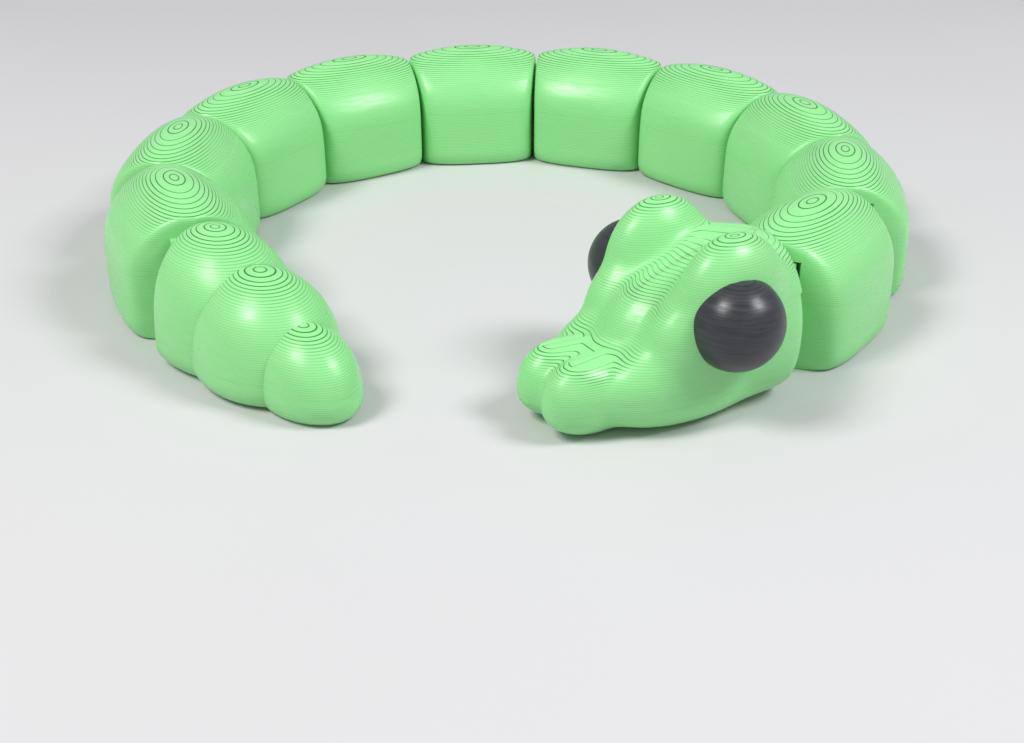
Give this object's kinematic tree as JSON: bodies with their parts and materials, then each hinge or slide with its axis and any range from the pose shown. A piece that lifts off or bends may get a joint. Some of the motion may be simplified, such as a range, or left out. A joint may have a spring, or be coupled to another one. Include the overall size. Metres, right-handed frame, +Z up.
{
  "type": "articulated snake toy",
  "caption": "Articulated printed snake toy: a head with two domed eyes, rounded body segments and a lobed tail, joined in a chain by upright knuckle hinges, resting in a ring.",
  "frame": {"origin": "middle of the resting ring's footprint, on the floor", "axes": "+Z up from the floor, -Y towards the side of the ring where the head and the tail meet, +X to the side where the neck lies"},
  "size_m": [0.0872, 0.0878, 0.0169],
  "materials": {
    "green_plastic": "light green printed plastic, satin gloss, fine horizontal layer lines",
    "black_plastic": "black printed plastic, satin gloss, fine horizontal layer lines"
  },
  "bodies": {
    "head": {"head": "green_plastic", "left_eye": "black_plastic", "right_eye": "black_plastic"},
    "body_segment_01": {"body_segment_01": "green_plastic"},
    "body_segment_02": {"body_segment_02": "green_plastic"},
    "body_segment_03": {"body_segment_03": "green_plastic"},
    "body_segment_04": {"body_segment_04": "green_plastic"},
    "body_segment_05": {"body_segment_05": "green_plastic"},
    "body_segment_06": {"body_segment_06": "green_plastic"},
    "body_segment_07": {"body_segment_07": "green_plastic"},
    "body_segment_08": {"body_segment_08": "green_plastic"},
    "body_segment_09": {"body_segment_09": "green_plastic"},
    "body_segment_10": {"body_segment_10": "green_plastic"},
    "tail": {"tail": "green_plastic"}
  },
  "joints": [
    {"name": "neck_hinge", "type": "hinge", "parent": "head", "child": "body_segment_01", "pos_m": [0.02423, -0.02768, 0.0066], "axis": [0, 0, 1], "range_deg": [-50.8, 4.2]},
    {"name": "body_hinge_01", "type": "hinge", "parent": "body_segment_01", "child": "body_segment_02", "pos_m": [0.03415, -0.01387, 0.0066], "axis": [0, 0, 1], "range_deg": [-54.1, 0.9]},
    {"name": "body_hinge_02", "type": "hinge", "parent": "body_segment_02", "child": "body_segment_03", "pos_m": [0.03684, 0.00291, 0.0066], "axis": [0, 0, 1], "range_deg": [-54.1, 0.9]},
    {"name": "body_hinge_03", "type": "hinge", "parent": "body_segment_03", "child": "body_segment_04", "pos_m": [0.03173, 0.01913, 0.0066], "axis": [0, 0, 1], "range_deg": [-54.1, 0.9]},
    {"name": "body_hinge_04", "type": "hinge", "parent": "body_segment_04", "child": "body_segment_05", "pos_m": [0.0199, 0.03134, 0.0066], "axis": [0, 0, 1], "range_deg": [-54.1, 0.9]},
    {"name": "body_hinge_05", "type": "hinge", "parent": "body_segment_05", "child": "body_segment_06", "pos_m": [0.00385, 0.03695, 0.0066], "axis": [0, 0, 1], "range_deg": [-54.1, 0.9]},
    {"name": "body_hinge_06", "type": "hinge", "parent": "body_segment_06", "child": "body_segment_07", "pos_m": [-0.01301, 0.03479, 0.0066], "axis": [0, 0, 1], "range_deg": [-54.1, 0.9]},
    {"name": "body_hinge_07", "type": "hinge", "parent": "body_segment_07", "child": "body_segment_08", "pos_m": [-0.02712, 0.02531, 0.0066], "axis": [0, 0, 1], "range_deg": [-54.1, 0.9]},
    {"name": "body_hinge_08", "type": "hinge", "parent": "body_segment_08", "child": "body_segment_09", "pos_m": [-0.03549, 0.01052, 0.0066], "axis": [0, 0, 1], "range_deg": [-54.1, 0.9]},
    {"name": "body_hinge_09", "type": "hinge", "parent": "body_segment_09", "child": "body_segment_10", "pos_m": [-0.03635, -0.00646, 0.0066], "axis": [0, 0, 1], "range_deg": [-54.1, 0.9]},
    {"name": "tail_hinge", "type": "hinge", "parent": "body_segment_10", "child": "tail", "pos_m": [-0.02952, -0.02203, 0.0066], "axis": [0, 0, 1], "range_deg": [-45.2, 9.8]}
  ]
}
